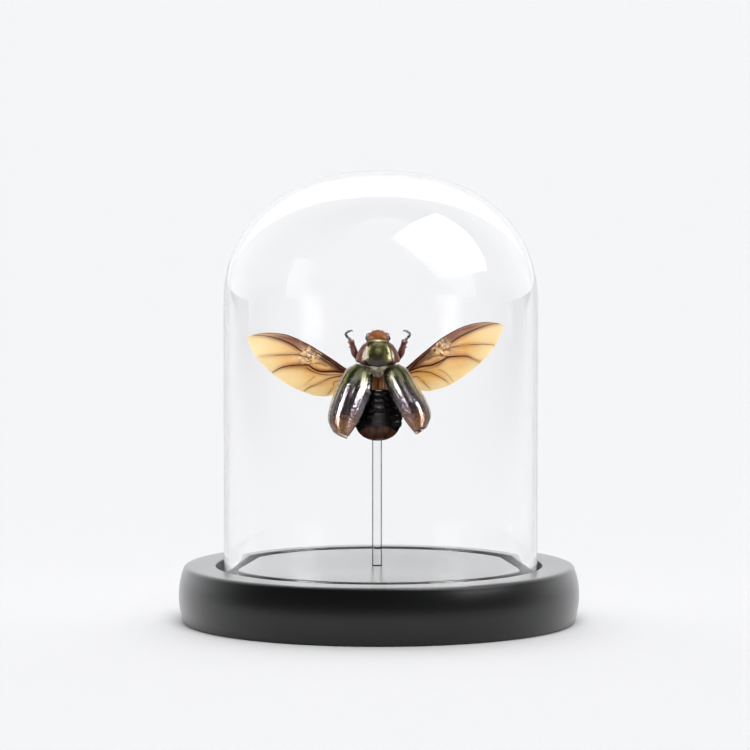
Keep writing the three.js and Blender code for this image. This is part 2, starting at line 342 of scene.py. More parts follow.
def layered(tree, ground, layers):
    """A ground colour, and other colours over it in turn where their masks say so."""
    paint = add(tree, "RGB")
    paint.outputs[0].default_value = colour(ground)
    shown = paint.outputs[0]
    for layer, hex_value in layers:
        amount = add(tree, "Attribute", attribute_name=layer)
        mixed = add(
            tree,
            "Mix",
            {MIX_FACTOR: amount.outputs["Fac"], MIX_A: shown, MIX_B: colour(hex_value)},
            data_type="RGBA",
        )
        shown = mixed.outputs[MIX_COLOUR]
    return shown


def surface(tree, shader):
    """Makes a shader the material's surface."""
    add(tree, "OutputMaterial", {"Surface": shader.outputs[0]})


# %% [markdown]
# ## The camera
# A small object is best seen from a little above and from far away, so that upright lines
# stay upright. The camera stands a metre and a half off and looks down by under five degrees.

# %% Camera
SENSOR_MM = 36
LENS_MM = 241.7
CAMERA_PLACE = (-0.0012, -1.5, 0.196)
LOOKS_DOWN = 4.65  # degrees
camera = bpy.data.objects.new("camera", bpy.data.cameras.new("camera"))
bpy.context.collection.objects.link(camera)
camera.data.sensor_width = SENSOR_MM
camera.data.lens = LENS_MM
camera.data.clip_start = 0.05
camera.data.clip_end = 100
camera.location = CAMERA_PLACE
camera.rotation_euler = (math.radians(90 - LOOKS_DOWN), 0, 0)
bpy.context.scene.camera = camera
print(f"camera {camera.location.length:.2f} m from the base")

# %% [markdown]
# ## The turned base
# The real base is a disc of wood turned on a lathe, sanded, and painted satin black. Its side
# swells a little, its edges are eased, and a groove for the glass runs round the top.
# Spinning one outline gives the same shape that the lathe does. Satin paint is smooth, with
# a faint trace of the wood's grain under it and soft wide reflections.

# %% Satin black paint


def painted_wood():
    material, tree = new_material("satin black paint on turned wood")
    place = add(tree, "TexCoord").outputs["Object"]
    # Grain runs along X, and shows through the paint as streaks about 0.8 mm apart.
    stretch = add(tree, "Mapping", {"Vector": place, "Scale": (0.04, 1, 1)})
    grain = add(tree, "TexNoise", {"Vector": stretch.outputs[0], "Scale": 1300, "Detail": 3})
    orange_peel = add(tree, "TexNoise", {"Vector": place, "Scale": 900, "Detail": 1})
    height = add(tree, "Math", {0: grain.outputs[0], 1: orange_peel.outputs[0]}, operation="ADD")
    bump = add(tree, "Bump", {"Height": height.outputs[0], "Strength": 0.12, "Distance": 0.00002})
    # Handling leaves the paint a little duller in places a few centimetres across.
    wear = add(tree, "TexNoise", {"Vector": place, "Scale": 45, "Detail": 4})
    roughness = add(
        tree, "MapRange", {"Value": wear.outputs[0], "To Min": 0.28, "To Max": 0.36}
    )
    paint = add(
        tree,
        "BsdfPrincipled",
        {
            "Base Color": colour("#060607"),
            "Roughness": roughness.outputs[0],
            "IOR": 1.5,
            "Specular IOR Level": 0.3,
            "Coat Weight": 1.0,
            "Coat IOR": 1.35,
            "Coat Roughness": 0.28,
            "Normal": bump.outputs[0],
        },
    )
    surface(tree, paint)
    return material


SATIN_BLACK = painted_wood()

# %% The base's outline, spun and drilled
BASE = {"radius": 59.8, "rim": 58.5, "edge": 1.3, "height": 17}
GROOVE = {"outer": 48.9, "inner": 41.9, "floor": 13, "lip": 0.5}


def base_outline():
    radius, rim, edge, top = BASE["radius"], BASE["rim"], BASE["edge"], BASE["height"]
    outer, inner, floor, lip = (GROOVE[name] for name in ("outer", "inner", "floor", "lip"))
    corner = 0.6
    outline = [(0, 0)]
    outline += rounded((rim - corner, 0), (rim, 0), (rim + 0.2, corner), 5)
    belly = 2 * radius - rim  # pulls the side out to the full radius half way up
    outline += rounded((rim + 0.5, edge), (belly, top / 2), (rim + 0.35, top - edge - 0.4), 14)
    outline += rounded((rim + 0.2, top - edge), (rim, top), (rim - edge - 0.4, top), 9)
    outline += rounded((outer + lip, top), (outer, top), (outer, top - lip), 5)
    outline += rounded((outer, floor + 0.5), (outer, floor), (outer - 0.5, floor), 4)
    outline += rounded((inner + 0.5, floor), (inner, floor), (inner, floor + 0.5), 4)
    outline += rounded((inner, top - lip), (inner, top), (inner - lip, top), 5)
    outline += [(20, top), (5, top), (0, top)]
    return [(r * MM, z * MM) for r, z in outline]


base = turned(base_outline(), steps=192)
HOLE = {"radius": 1.65, "depth": 7}
ROD_X = (ROD_LOW[0] + ROD_HIGH[0]) / 2
drill = start(
    bpy.ops.mesh.primitive_cylinder_add,
    vertices=48,
    radius=HOLE["radius"] * MM,
    depth=2 * HOLE["depth"] * MM,
    location=(ROD_X, 0, BASE_TOP),
)
modify(base, "BOOLEAN", operation="DIFFERENCE", object=drill, solver="EXACT")
bpy.data.objects.remove(drill)
finished(base, "turned_base", SATIN_BLACK, "base", slot="black_painted_wood", angle=35)

# %% [markdown]
# ## The glass dome
# A cloche is blown into a mould and its open end is flame-polished, so the wall is even and
# its rim is round. It is one closed shell here, with an outer and an inner wall, which lets
# the renderer bend light at both. Clear soda-lime glass has an index of 1.5 and next to no
# colour; its darker edges are painted shade, a colour that darkens where the glass is seen
# edge-on. Shadow rays pass straight through, so that the lamps reach what stands inside, and
# so do the rays that gather soft light for the floor.

# %% Clear glass


def clear_solid(name, tint, edge, facing_from, facing_to, ior):
    """The colour goes from tint to edge, a painted shade, as Facing, 0 face-on and 1 edge-on, passes two
    values.
    """
    material, tree = new_material(name)
    # The colour darkens towards edge-on, as painted shade for the glass's dark edge lines.
    facing = add(tree, "LayerWeight", {"Blend": 0.5}).outputs["Facing"]
    grazed = add(tree, "MapRange", {"Value": facing, "From Min": facing_from, "From Max": facing_to})
    shade = add(
        tree,
        "Mix",
        {MIX_FACTOR: grazed.outputs[0], MIX_A: colour(tint), MIX_B: colour(edge)},
        data_type="RGBA",
    )
    clear = add(
        tree,
        "BsdfPrincipled",
        {
            "Base Color": shade.outputs[MIX_COLOUR],
            "Roughness": 0.0,
            "IOR": ior,
            "Specular Tint": (0.06, 0.06, 0.06, 1.0),
            "Transmission Weight": 1.0,
        },
    )
    through = add(tree, "BsdfTransparent", {"Color": colour(tint)})
    path = add(tree, "LightPath")
    # Soft light from the floor goes straight through, so the wall throws no bright patch on it.
    still = add(
        tree,
        "MixShader",
        {0: path.outputs["Is Diffuse Ray"], 1: clear.outputs[0], 2: through.outputs[0]},
    )
    mixed = add(
        tree,
        "MixShader",
        {0: path.outputs["Is Shadow Ray"], 1: still.outputs[0], 2: through.outputs[0]},
    )
    surface(tree, mixed)
    return material


# Glass blown in a mould and flame-polished: perfectly smooth, with a thin grey edge line of painted
# shade.
BLOWN_GLASS = clear_solid("clear blown soda-lime glass", "#fefefe", "#4a4e52", 0.8, 1.0, 1.5)
# Extruded and polished acrylic rod: as clear, and solid; its broader dark edge lines are painted shade.
CLEAR_ACRYLIC = clear_solid("clear polished acrylic", "#f7f8f8", "#0c0b0a", 0.2, 0.5, 1.49)

# %% The dome's two walls and its rim
DOME = {"radius": 46.95, "wall": 1.0, "top": 135.3, "crown": 40.5, "rim": 13.25}
DOME_SHIFT = (DOME_LOW[0] + DOME_HIGH[0]) / 2
SQUARENESS = 2.2  # 2 would be a half circle


def crown(radius, top, tall, steps=44):
    """One wall from the crown's middle to where the straight side begins."""
    points = []
    for k in range(steps + 1):
        turn = math.pi / 2 * k / steps
        across = abs(math.sin(turn)) ** (2 / SQUARENESS)
        up = abs(math.cos(turn)) ** (2 / SQUARENESS) if k < steps else 0
        points.append((radius * across, top - tall * (1 - up)))
    return points


def dome_outline():
    radius, wall, top, tall, rim = DOME.values()
    outside = crown(radius, top, tall)
    inside = crown(radius - wall, top - wall, tall - wall)
    lip = [
        (radius - wall / 2 + wall / 2 * math.cos(a), rim + wall / 2 * (1 - math.sin(a)))
        for a in (math.pi * k / 10 for k in range(11))
    ]
    sides = [top - tall - 8 * k for k in range(1, 10)]
    out_side = [(radius, z) for z in sides]
    in_side = [(radius - wall, z) for z in reversed(sides)]
    return [(r * MM, z * MM) for r, z in outside + out_side + lip + in_side + inside[::-1]]


dome = turned(dome_outline(), steps=224)
dome.location.x = DOME_SHIFT
finished(dome, "dome", BLOWN_GLASS, "glass_dome", slot="dome_glass", angle=60)

# %% [markdown]
# ## The clear rod and its drop of glue
# The beetle is held by a straight acrylic rod that is pushed into a hole in the base. The
# ends are cut and slightly eased. A drop of clear glue joins the rod to the beetle's belly.

# %% Rod and glue
ROD_RADIUS = (ROD_HIGH[0] - ROD_LOW[0]) / 2
EASE = 0.2 * MM
rod = turned(
    [
        (0, ROD_LOW[2]),
        (ROD_RADIUS - EASE, ROD_LOW[2]),
        (ROD_RADIUS, ROD_LOW[2] + EASE),
        (ROD_RADIUS, ROD_HIGH[2] - EASE),
        (ROD_RADIUS - EASE, ROD_HIGH[2]),
        (0, ROD_HIGH[2]),
    ],
    steps=48,
)
rod.location.x = ROD_X
finished(rod, "rod", CLEAR_ACRYLIC, "support_rod", slot="clear_rod")

GLUE = [
    (54.6, 0, 0, 0, 0),
    (54.3, 1.5, 0.5, 0.7, 0),
    (52.5, 2.2, 0.7, 1.2, 0),
    (48.5, 2.4, 0.7, 1.6, 0),
    (44.5, 2.1, 0.7, 1.5, 0),
    (42.4, 1.3, 0.5, 0.9, 0),
    (42.0, 0, 0, 0, 0),
]
glue = oval_body(GLUE, depth=-1.7, segments=32, rings=24)
finished(glue, "glue_drop", CLEAR_ACRYLIC, slot="clear_rod")

# %% [markdown]
# ## A beetle's shell
# Chitin is a tough, layered skin. Where its layers reflect like thin metal it looks green or
# bronze, and elsewhere it is brown to black, always with a smooth wax gloss on top. Its
# surface has fine punctures, little pits a few tenths of a millimetre apart. One function
# makes each such finish: a ground colour, other colours where a mask on the piece says so,
# the pits with painted shade in them, and the gloss. A mask is a number from 0 to 1 kept on
# every corner of the mesh.

# %% Masks on a mesh


def mask(ob, **rules):
    """Stores numbers on each corner. A rule gets (u, v, x, y, z): see the piece's maker."""
    us = [item.value for item in ob.data.attributes["u"].data]
    vs = [item.value for item in ob.data.attributes["v"].data]
    for name, rule in rules.items():
        kept = ob.data.attributes.new(name, "FLOAT", "POINT")
        for i, corner in enumerate(ob.data.vertices):
            x = (corner.co.x - MIDLINE) / MM
            z = (corner.co.z - LEVEL) / MM
            kept.data[i].value = rule(us[i], vs[i], x, corner.co.y / MM, z)
    return ob


# %% The shell's finish


def chitin(name, ground, layers=(), pit_mm=0.35, pit_depth=0.02, pit_painted_shade=0.85, **look):
    """layers are (mask, colour) pairs laid over the ground colour in turn.

    pit_painted_shade is how dark a pit is painted beside the shell round it, as painted shade in the
    pits. In look, a text names a mask.
    """
    material, tree = new_material(name)
    place = add(tree, "TexCoord").outputs["Object"]
    # Slow changes of tone, a few millimetres across.
    clouds = add(tree, "TexNoise", {"Vector": place, "Scale": 350, "Detail": 3})
    tone = add(tree, "MapRange", {"Value": clouds.outputs[0], "To Min": 0.72, "To Max": 1.2})
    pits = add(tree, "TexVoronoi", {"Vector": place, "Scale": 1000 / pit_mm})
    bowl = add(
        tree,
        "MapRange",
        {"Value": pits.outputs["Distance"], "From Min": 0.1, "From Max": 0.55},
        interpolation_type="SMOOTHSTEP",
    )
    bump = add(
        tree,
        "Bump",
        {"Height": bowl.outputs[0], "Strength": 1.0, "Distance": pit_depth * MM},
    )
    # The pits are painted darker: painted shade in them.
    painted_pit_shade = add(tree, "MapRange", {"Value": bowl.outputs[0], "To Min": pit_painted_shade, "To Max": 1.0})
    value = add(tree, "Math", {0: tone.outputs[0], 1: painted_pit_shade.outputs[0]}, operation="MULTIPLY")
    shown = layered(tree, ground, layers)
    toned = add(tree, "HueSaturation", {"Color": shown, "Value": value.outputs[0]})
    # The wax lies over the pits and fills them in part, so they break up its gloss only a little.
    waxed = add(
        tree,
        "Bump",
        {"Height": bowl.outputs[0], "Strength": 1.0, "Distance": 0.4 * pit_depth * MM},
    )
    settings = {"Roughness": 0.25, "IOR": 1.55, "Coat Weight": 0.8, "Coat Roughness": 0.07}
    settings["Coat Normal"] = waxed.outputs[0]
    settings.update(look)
    for socket, value in settings.items():
        if isinstance(value, str):
            settings[socket] = add(tree, "Attribute", attribute_name=value).outputs["Fac"]
    shell = add(
        tree,
        "BsdfPrincipled",
        {"Base Color": toned.outputs[0], "Normal": bump.outputs[0], **settings},
    )
    surface(tree, shell)
    return material


# The head is thin, smooth chitin with little wax on it, so its gloss is soft.
HEAD_SHELL = chitin(
    "smooth orange-brown chitin",
    "#8c480e",
    [("rim", "#2c1208"), ("crown", "#5a6428")],
    pit_mm=0.3,
    Roughness=0.35,
    **{"Specular IOR Level": 0.2, "Coat Weight": 0.15},
)
# The neck shield's disc is layered and mirrors like olive metal. Its margin is plain and dull.
# Its cream layer is also painted highlight on the chest's pale plates and small shield.
SHIELD_SHELL = chitin(
    "metallic olive chitin",
    "#464322",
    [("violet", "#4c4650"), ("margin", "#7a4836"), ("line", "#070805"), ("cream", "#b7ab8c")],
    pit_mm=0.32,
    Metallic="metal",
    Roughness=0.16,
    **{"Coat Weight": 0.15, "Coat IOR": 1.5, "Coat Roughness": 0.08},
)
# The chest is tanned brown, not layered, and has a plain low gloss.
BROWN_SHELL = chitin(
    "brown chitin of the chest",
    "#ab5f1a",
    [("stripe", "#1e0c04"), ("underside", "#4a2d16")],
    pit_mm=0.4,
    Roughness=0.3,
    **{"Specular IOR Level": 0.4, "Coat Weight": 0.4},
)
# The abdomen is tanned nearly black. Only its wax shows, as sharp glints down its middle.
DARK_SHELL = chitin(
    "near-black glossy chitin",
    "#080505",
    [("end", "#5a3420"), ("pale", "#9a8674"), ("streak", "#120806")],
    pit_mm=0.45,
    pit_depth=0.012,
    Roughness=0.22,
    **{"Specular IOR Level": 0.0, "Coat Weight": "wax", "Coat IOR": 1.6, "Coat Roughness": 0.05},
)
# An eye's lenses are 0.02 mm wide and too fine to show, so they are drawn six times as coarse.
EYE = chitin("black compound eye", "#0a0808", pit_mm=0.12, pit_depth=0.01, Roughness=0.2)

# %% [markdown]
# ## Head
# Seen from behind and above, the head is a short brown spade with a dark raised rim, with a
# round black eye tucked in at each side. Below it hang two feelers with leafed clubs.

# %% Head capsule
HEAD = [
    (67.7, 0, 0, 0, 0),
    (67.75, 3.1, 1.6, 1.9, 1.2),
    (68.2, 3.35, 1.9, 2.2, 1.0),
    (68.8, 3.25, 1.9, 2.2, 0.8),
    (69.3, 3.0, 1.7, 2.0, 0.6),
    (69.75, 2.6, 1.4, 1.7, 0.5),
    (70.1, 2.1, 1.0, 1.3, 0.35),
    (70.35, 1.2, 0.6, 0.8, 0.2),
    (70.46, 0.6, 0.3, 0.4, 0.1),
    (70.48, 0, 0, 0, 0),
][::-1]


head = oval_body(HEAD, depth=-6.8, segments=64, rings=48)
mask(
    head,
    rim=lambda u, v, x, y, z: 0.9 * max(1 - ease(u, 0.2, 0.34), ease(abs(v), 0.84, 1)),
    crown=lambda u, v, x, y, z: 0.35 * ease(-z, -68.6, -68.1),
)
finished(head, "head_capsule", HEAD_SHELL, "head", slot="head_shell")

# %% Eyes, feelers and mouth feelers
for side, name in ((-1, "left"), (1, "right")):
    eye = start(
        bpy.ops.mesh.primitive_uv_sphere_add,
        segments=40,
        ring_count=24,
        radius=0.85 * MM,
        location=at(side * 3.1, -6.5, 67.95),
        scale=(0.8, 1, 1.05),
    )
    finished(eye, f"eye_{name}", EYE, "head", slot="head_shell")
    stalk = [
        (2.0, -6.0, 69.0, 0.2),
        (2.6, -5.0, 69.2, 0.26),
        (3.2, -4.3, 69.0, 0.16),
        (3.3, -4.0, 68.6, 0.2),
        (3.25, -3.7, 68.2, 0.17),
    ]
    leaves = [
        [(3.25, -3.7, 68.2, 0.12), (3.2 + s, -3.3, 67.8, 0.26), (3.1 + 2 * s, -2.9, 67.2, 0.14)]
        for s in (-0.16, 0, 0.16)
    ]
    palp = [(1.0, -5.0, 69.7, 0.16), (1.4, -4.5, 70.0, 0.2), (1.6, -4.1, 69.8, 0.1)]
    routes = [[(side * x, y, z, r) for x, y, z, r in route] for route in (stalk, *leaves, palp)]
    finished(tubes(routes), f"feeler_{name}", HEAD_SHELL, slot="head_shell")

# %% [markdown]
# ## Neck shield
# The shield behind the head is the beetle's brightest part: olive metal in the middle, a
# broad pinkish margin at each side behind a black line, and a narrow cream front edge. It
# is one domed body whose masks follow how far across it a point lies.

# %% Neck shield
SHIELD = [
    (67.95, 0, 0, 0, 0),
    (68.0, 3.0, 1.5, 1.8, 1.2),
    (67.7, 4.2, 2.6, 2.7, 1.4),
    (66.6, 4.95, 3.4, 3.2, 1.2),
    (65.2, 5.5, 3.95, 3.6, 0.7),
    (63.8, 5.95, 4.3, 3.8, 0.2),
    (62.3, 6.3, 4.5, 3.9, -0.2),
    (61.1, 6.5, 4.4, 3.8, -0.6),
    (60.2, 6.5, 4.1, 3.6, -1.0),
    (59.75, 6.35, 3.8, 3.3, -1.3),
    (59.7, 4.5, 2.6, 2.4, -1.0),
    (59.8, 0, 0, 0, 0),
]
DISC = {"left": -0.60, "right": 0.70}


def past_disc(v):
    """How far a point is outside the green disc, as a share of the half width."""
    return max(v - DISC["right"], DISC["left"] - v)


shield = oval_body(
    SHIELD,
    depth=-7.4,
    relief=lambda u, v, front: 0.1 * hump(abs(v), 0.97, 0.04) - 0.12 * hump(past_disc(v), 0.0, 0.04),
)


def shield_line(u, v, x, y, z):
    """Dark beside the disc and along the rear edge, on the back alone."""
    return max(hump(past_disc(v), -0.02, 0.05), ease(-z, -60.2, -59.9)) if y < -7 else 0


mask(
    shield,
    violet=lambda u, v, x, y, z: 0.75 * hump(x, -0.3, 3.2) * hump(z, 60.6, 1.6),
    margin=lambda u, v, x, y, z: ease(past_disc(v), 0.0, 0.06),
    line=shield_line,
    cream=lambda u, v, x, y, z: ease(z + 0.35 * v * v, 67.25, 67.45),
    metal=lambda u, v, x, y, z: 0.85 - 0.75 * ease(past_disc(v), -0.02, 0.02),
)
finished(shield, "neck_shield", SHIELD_SHELL, "pronotum", slot="green_shell")

# %% [markdown]
# ## Chest
# With the wing cases open, the chest between them shows: two pale plates behind the neck
# shield, palest on their crowns by painted highlight, the small shield with a pale rim that
# is partly painted highlight, and an orange-brown back with dark furrows. Underneath, the
# chest is broad, brown and slightly hairy. The furrows are real grooves along the body.

# %% Chest
CHEST = [
    (59.35, 0, 0, 0, 0),
    (59.4, 4.0, 2.2, 2.6, -0.8),
    (59.2, 5.5, 3.2, 3.5, -0.9),
    (58.0, 6.2, 3.7, 3.9, -0.4),
    (56.4, 6.5, 3.9, 4.2, 0),
    (54.6, 6.5, 3.9, 4.2, 0),
    (53.4, 6.3, 3.6, 4.1, 0),
    (52.8, 5.8, 3.2, 3.7, 0),
    (52.7, 3.5, 2.0, 2.4, 0),
    (52.7, 0, 0, 0, 0),
]


def furrows(v):
    return max(hump(abs(v), 0.0, 0.03), hump(abs(v), 0.17, 0.045), hump(abs(v), 0.33, 0.05))


chest = oval_body(
    CHEST,
    depth=-6.1,
    relief=lambda t, v, front: -0.3 * furrows(v) * ease(front, 0, 0.3) - 0.3 * hump(v, 0, 0.03),
)
mask(
    chest,
    stripe=lambda u, v, x, y, z: 0.9 * furrows(v) if y < -7 else 0,
    underside=lambda u, v, x, y, z: ease(y, -6.5, -5.0),
)
finished(chest, "chest", BROWN_SHELL, "thorax", slot="brown_shell")

# %% The two pale plates and the small shield, with painted highlights


# Pale on each lobe, palest on its crown: the lobes' own pale colour and a painted highlight.
def pale_lobes_with_highlight(u, v, x, y, z):
    return abs(math.sin(math.pi * v * 2))


def lobe_depth(u, v, x, z):
    return -10.25 - 0.7 * math.sin(math.pi * u) * (0.35 + 0.65 * abs(math.sin(math.tau * v)))


plates = sheet(
    [(-2.7, 60.3), (-2.9, 59.3), (-1.4, 58.4)],
    [(2.7, 60.3), (2.9, 59.3), (1.4, 58.4)],
    32,
    48,
    lobe_depth,
)
mask(
    plates,
    violet=lambda u, v, x, y, z: 0.15,
    margin=lambda u, v, x, y, z: 0.0,
    line=lambda u, v, x, y, z: hump(v, 0.5, 0.05) + ease(u, 0.88, 1),
    cream=pale_lobes_with_highlight,
    metal=lambda u, v, x, y, z: 0.2,
)
modify(plates, "SOLIDIFY", thickness=0.3 * MM, offset=1)
finished(plates, "middle_plates", SHIELD_SHELL, "thorax", slot="green_shell")



def small_shield_depth(u, v, x, z):
    return -10.55 - 0.45 * math.sin(math.pi * v) ** 0.6 * math.sin(math.pi * (0.1 + 0.85 * u)) ** 0.6


small_shield = sheet(
    [(-1.45, 58.6), (-1.6, 57.9), (-1.1, 56.9), (-0.25, 56.35)],
    [(1.45, 58.6), (1.6, 57.9), (1.1, 56.9), (0.25, 56.35)],
    32,
    32,
    small_shield_depth,
)
mask(
    small_shield,
    violet=lambda u, v, x, y, z: 0.9,
    margin=lambda u, v, x, y, z: 0.3,
    line=lambda u, v, x, y, z: hump(min(v, 1 - v, 1 - u), 0.12, 0.05),
    # The pale rim is partly the small shield's pale border and partly painted highlight.
    cream=lambda u, v, x, y, z: 1 - 0.85 * ease(min(v, 1 - v, (1 - u) * 1.2), 0.08, 0.16),
    metal=lambda u, v, x, y, z: 0.3,
)
modify(small_shield, "SOLIDIFY", thickness=0.4 * MM, offset=-1)
finished(small_shield, "small_shield", SHIELD_SHELL, "scutellum", slot="green_shell")

# %% [markdown]
# ## Abdomen
# The abdomen is made of hard rings that overlap like roof tiles, each with a lip that stands
# over the next. The last plate is reddish, streaked, and pale at its lowest edge.

# %% Abdomen
ABDOMEN = [
    (53.2, 0, 0, 0, 0),
    (53.2, 4.2, 2.0, 2.6, 0),
    (52.9, 5.6, 2.7, 3.5, 0),
    (51.6, 6.3, 3.05, 3.8, 0),
    (50.2, 6.6, 3.2, 4.0, 0),
    (48.0, 6.85, 3.3, 4.0, 0),
    (46.0, 7.0, 3.3, 3.9, 0),
    (43.7, 7.05, 3.2, 3.8, 0),
    (41.6, 6.7, 3.0, 3.4, 0),
    (39.9, 5.8, 2.6, 2.9, 0),
    (38.6, 4.5, 2.0, 2.1, 0),
    (37.7, 2.8, 1.2, 1.3, 0),
    (37.35, 1.4, 0.6, 0.6, 0),
    (37.3, 0, 0, 0, 0),
]
RING_EDGES = [54.0, 51.8, 50.0, 48.0, 45.8, 43.7, 41.7]


def ring_relief(t, v, front):
    """Each ring swells between its edges, and ends in a small lip over the next."""
    z = between([(row[0],) for row in ABDOMEN], t)[0] + 0.5 * v * v
    for high_edge, low_edge in zip(RING_EDGES, RING_EDGES[1:]):
        if low_edge <= z <= high_edge:
            share = (high_edge - z) / (high_edge - low_edge)
            return 0.32 * (1 - max(1 - share / 0.4, 0) ** 2) * (1 - ease(share, 0.86, 1.0)) - 0.05
    return 0.12 * math.sin(math.pi * min(max((41.7 - z) / 4.4, 0), 1)) - 0.05


abdomen = oval_body(ABDOMEN, depth=-5.9, segments=112, rings=170, relief=ring_relief)
mask(
    abdomen,
    end=lambda u, v, x, y, z: 0.85 * ease(-z - 0.06 * x * x, -42.3, -41.9) if y < -5.9 else 0.4,
    wax=lambda u, v, x, y, z: 0.08 + 0.5 * hump(x, 0, 2.4) if y < -5.9 else 0.6,
    pale=lambda u, v, x, y, z: ease(-z, -38.3, -37.5) * 0.8,
    streak=lambda u, v, x, y, z: 0.6 * ease(noise.noise((x * 1.3, y * 0.5, z * 0.35)), 0.0, 0.3),
)
finished(abdomen, "abdomen_rings", DARK_SHELL, "abdomen", slot="dark_shell")

# %% [markdown]
# ## Wing cases
# A wing case is a hard, arched front wing. It is olive at the shoulder, violet-grey over the
# middle and copper at the tip, with nine shallow rows of pits along it and a pale bead round
# its outer edge behind a dark line. Each one is a sheet between its inner and outer edge,
# arched by a formula, so that u runs along the case and v across it for every pattern.

# %% Wing cases' shape
CASE_EDGES = {
    "left": (
        [(-2.1, 59.2), (-1.85, 56.2), (-2.35, 52.4), (-4.4, 47.4), (-6.9, 42.6), (-9.3, 39.2)],
        [(-6.1, 60.3), (-9.2, 58.4), (-11.8, 53.8), (-13.7, 48.5), (-14.3, 44.3), (-12.9, 41.0)],
    ),
    "right": (
        [(2.1, 59.3), (1.95, 56.4), (3.5, 52.2), (5.6, 48.2), (8.1, 44.0), (11.3, 40.1)],
        [(6.1, 60.6), (8.8, 58.9), (12.0, 53.8), (14.6, 49.6), (15.8, 45.6), (14.6, 42.2)],
    ),
}
CASE = {"thickness": 0.5, "arch": 3.6, "inner": -10.6, "outer": -9.8, "lift": 4.5, "twist": 2.2}
ROWS = 9


def case_depth(u, v, x, z):
    swell = math.sin(math.pi * (0.16 + 0.68 * u))
    hinge = CASE["inner"] + (CASE["outer"] - CASE["inner"]) * v - CASE["lift"] * u
    hinge -= CASE["twist"] * u * (1 - v)
    y = hinge - CASE["arch"] * swell * max(math.sin(math.pi * v**1.25), 0) ** 0.75
    groove = hump(math.sin(math.pi * ROWS * v), 0, 0.35) * ease(v, 0.06, 0.14) * (1 - ease(v, 0.84, 0.92))
    y += 0.03 * groove * (1 - ease(u, 0.86, 0.95))
    y -= 0.16 * max(hump(v, 0.965, 0.025), hump(u, 0.985, 0.012))  # the bead
    y += 0.10 * max(hump(v, 0.905, 0.02), hump(u, 0.955, 0.015))  # the line inside it
    y += 0.03 * noise.noise((x * 1.5, z * 1.5, 3.0))
    return y


# %% Wing cases' finish: layered like thin metal under wax, so its reflections are bright bands
# Their pits are 0.2 mm apart and too fine to show, so they are drawn four times as coarse.
CASE_SHELL = chitin(
    "metallic chitin of the wing cases",
    "#343318",
    [
        ("violet", "#473b43"),
        ("copper", "#9c6844"),
        ("green", "#76801e"),
        ("line", "#0b0a07"),
        ("bead", "#c4b6a4"),
    ],
    pit_mm=0.8,
    pit_depth=0.035,
    pit_painted_shade=0.35,
    # The pits are painted much darker, as painted shade.
    Metallic="metal",
    Roughness=0.16,
    **{"Coat Weight": "wax", "Coat IOR": 1.7, "Coat Roughness": 0.06},
)

# %% Build both wing cases


def case_bead(u, v, x, y, z):
    return max(ease(v, 0.93, 0.945), 0.5 * ease(u, 0.976, 0.986), 1 - ease(u, 0.012, 0.02))


for name, (inner, outer) in CASE_EDGES.items():
    case = sheet(inner, outer, 190, 100, case_depth)
    mask(
        case,
        violet=lambda u, v, x, y, z: ease(u, 0.22, 0.5),
        copper=lambda u, v, x, y, z: ease(u, 0.58, 0.88) * (0.55 + 0.45 * math.sin(math.pi * v)),
        green=lambda u, v, x, y, z: 0.8 * hump(v, 0.85, 0.05) * (1 - ease(u, 0.3, 0.5)),
        line=lambda u, v, x, y, z: max(
            hump(v, 0.905, 0.022), hump(u, 0.95, 0.02) * ease(v, 0.05, 0.2), 0.7 * hump(v, 0.012, 0.012)
        ),
        bead=case_bead,
        metal=lambda u, v, x, y, z: (0.85 - 0.75 * ease(u, 0.6, 0.84)) * (1 - ease(v, 0.87, 0.89)),
        wax=lambda u, v, x, y, z: (0.1 + 0.9 * ease(u, 0.16, 0.34)) * (1 - 0.93 * ease(u, 0.6, 0.84)),
    )
    modify(case, "SOLIDIFY", thickness=CASE["thickness"] * MM, offset=-1, use_even_offset=True)
    outward(case)
    finished(case, f"wing_case_{name}", CASE_SHELL, f"elytron_{name}", slot="wing_case", angle=50)
